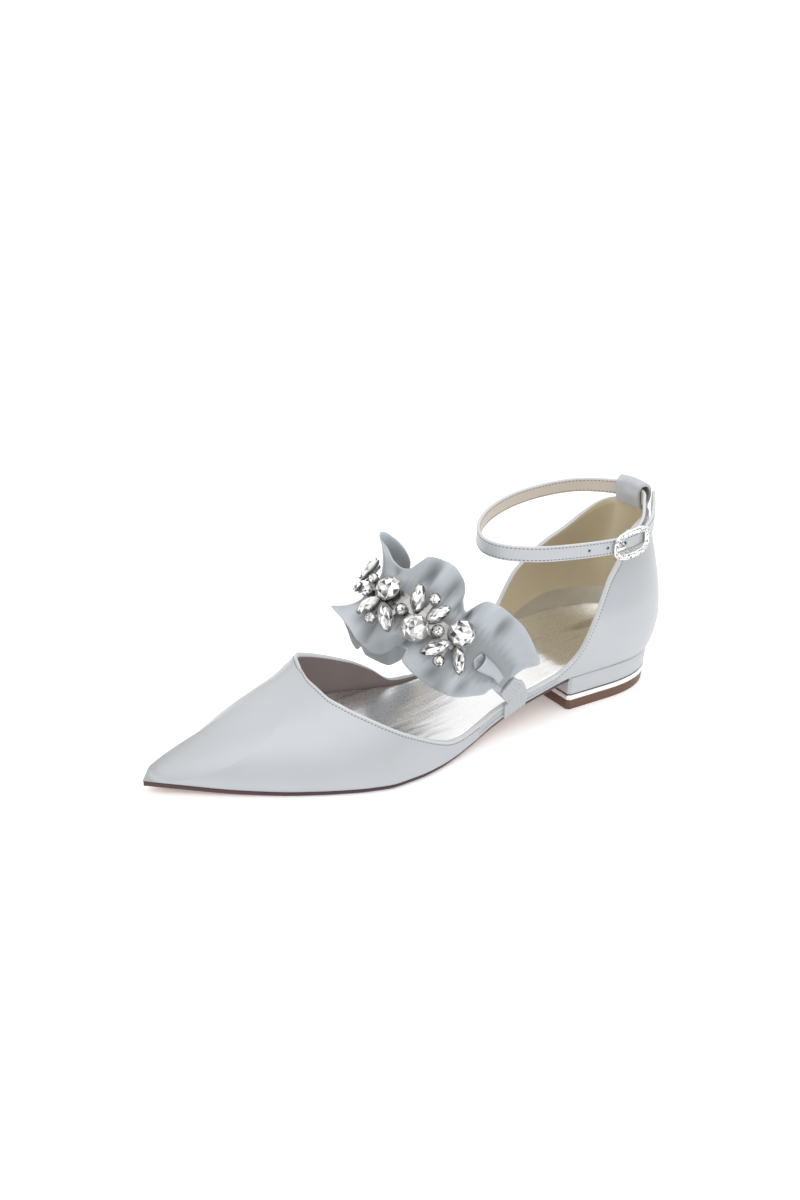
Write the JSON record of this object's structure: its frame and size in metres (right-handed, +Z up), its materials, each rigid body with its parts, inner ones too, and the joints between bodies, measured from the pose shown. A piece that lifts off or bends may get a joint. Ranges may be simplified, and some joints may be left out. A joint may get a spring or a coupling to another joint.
{
  "type": "pointed low block heel flat with ankle strap",
  "caption": "Left satin flat: pointed vamp, open waist, low block heel, ankle strap and a ruffled, stone-set instep strap.",
  "frame": {"origin": "centre of the heel lift's walking face, on the floor", "axes": "+X to the toe, +Y to the wearer's left (the outer side of this left shoe), +Z up"},
  "size_m": [0.2463, 0.0791, 0.0874],
  "materials": {
    "satin": "pale blue-grey polyester satin, soft sheen",
    "sock": "metallic silver lining leather with a fine grain",
    "sole": "thin brown sole with a dark edge",
    "silver": "polished silver trim",
    "lift": "brown heel lift, smooth matt side",
    "claw": "dark silver settings and claws",
    "stone": "clear cut stones with foiled backs"
  },
  "bodies": {
    "root": {"upper": "satin", "insole": "sock", "outsole": "sole", "heel_lift": "lift", "heel_band": "silver", "heel_block": "satin", "ankle_strap": "satin", "heel_loop": "satin", "buckle_frame": "silver", "buckle_prong": "silver", "instep_strap": "satin", "strap_tab_outer": "satin", "strap_tab_inner": "satin", "ruffle": "satin", "jewel_base": "claw", "stone_round_1": "stone", "stone_round_2": "stone", "stone_round_3": "stone", "stone_leaf_4": "stone", "stone_leaf_5": "stone", "stone_leaf_6": "stone", "stone_leaf_7": "stone", "stone_leaf_8": "stone", "stone_leaf_9": "stone", "stone_leaf_10": "stone", "stone_small_11": "stone", "stone_small_12": "stone", "stone_small_13": "stone", "stone_small_14": "stone", "stone_small_15": "stone", "stone_small_16": "stone", "stone_small_17": "stone", "stone_small_18": "stone"}
  },
  "joints": []
}
